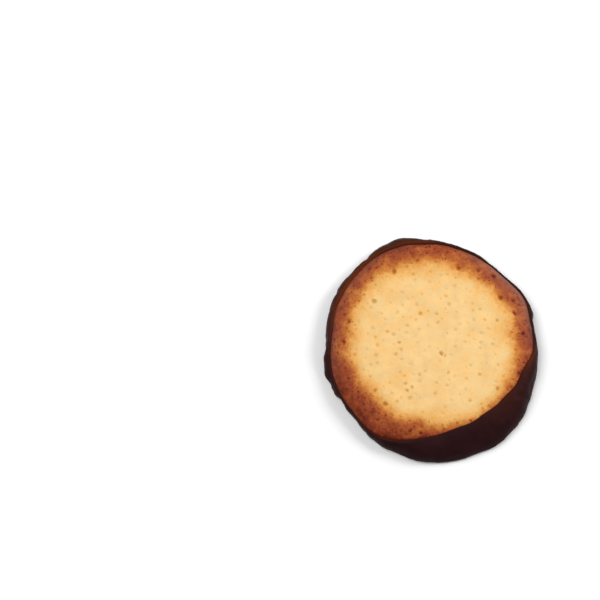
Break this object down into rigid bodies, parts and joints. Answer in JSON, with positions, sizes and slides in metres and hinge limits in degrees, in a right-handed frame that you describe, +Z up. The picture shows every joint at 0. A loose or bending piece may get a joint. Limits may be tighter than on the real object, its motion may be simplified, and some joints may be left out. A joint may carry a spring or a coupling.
{
  "type": "chocolate tuile biscuit",
  "caption": "Thin round baked biscuit with a browned rim, its underside and side coated in dark chocolate that laps over one edge of the face.",
  "frame": {"origin": "on the table, below the middle of the bounding box", "axes": "+Z up, the shortest side, out of the pale face; +Y to the back, away from the side where the chocolate laps over the face; +X to the right"},
  "size_m": [0.0604, 0.066, 0.0063],
  "materials": {
    "baked_crumb": "dry baked crumb, pale gold in the middle and toasted brown at the rim",
    "dark_chocolate": "satin dark chocolate"
  },
  "bodies": {
    "root": {"biscuit": "baked_crumb", "chocolate_coat": "dark_chocolate"}
  },
  "joints": []
}
